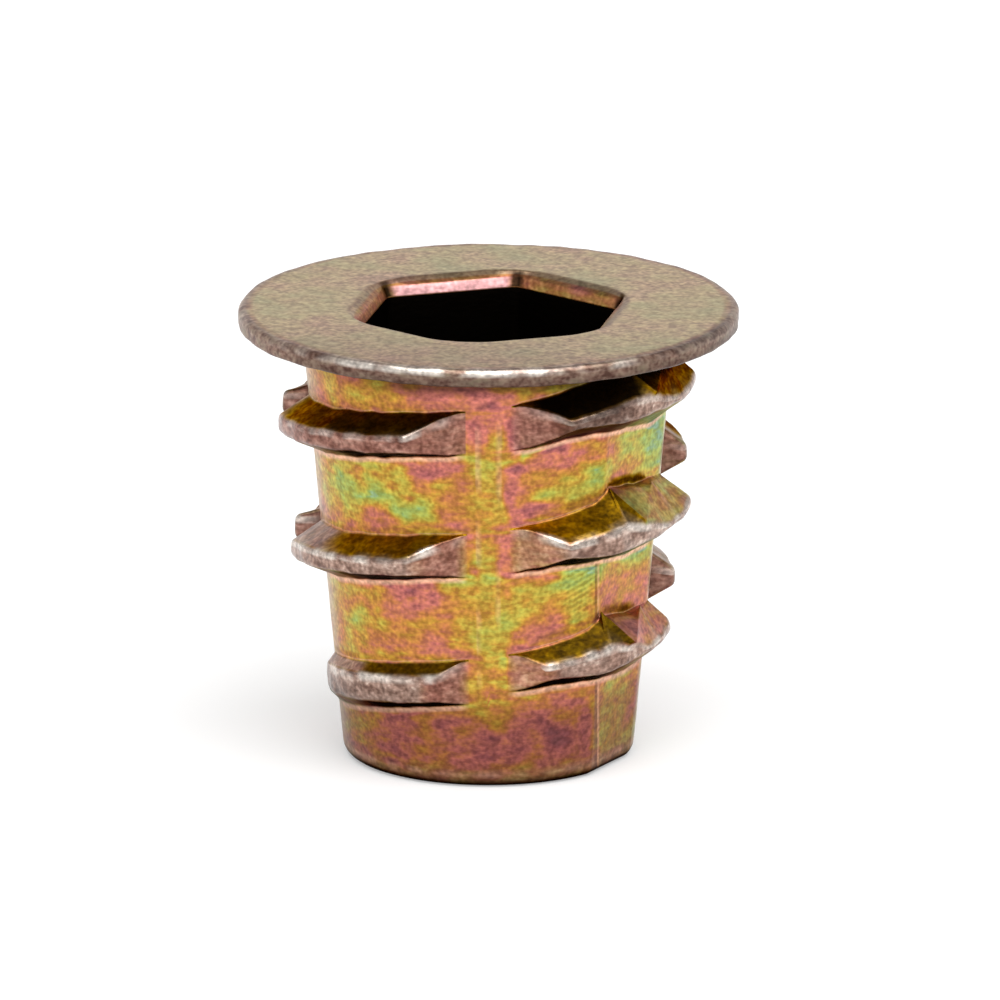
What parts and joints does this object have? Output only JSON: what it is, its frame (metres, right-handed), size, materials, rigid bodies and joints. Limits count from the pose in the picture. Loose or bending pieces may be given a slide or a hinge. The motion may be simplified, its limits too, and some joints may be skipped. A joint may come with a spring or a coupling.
{
  "type": "threaded insert",
  "caption": "Flanged hex-drive threaded insert with a tapped bore and interrupted wood-screw teeth on a tapered barrel, die-cast in yellow-chromated zinc alloy.",
  "frame": {"origin": "centre of the base, the narrow end that the insert stands on", "axes": "+Z along the bore towards the flange; -Y is the front, where a smooth land runs up the barrel"},
  "size_m": [0.017, 0.017, 0.0156],
  "materials": {
    "chromated_zinc": "die-cast zinc alloy with an iridescent yellow chromate film, satin"
  },
  "bodies": {
    "root": {"insert": "chromated_zinc"}
  },
  "joints": []
}
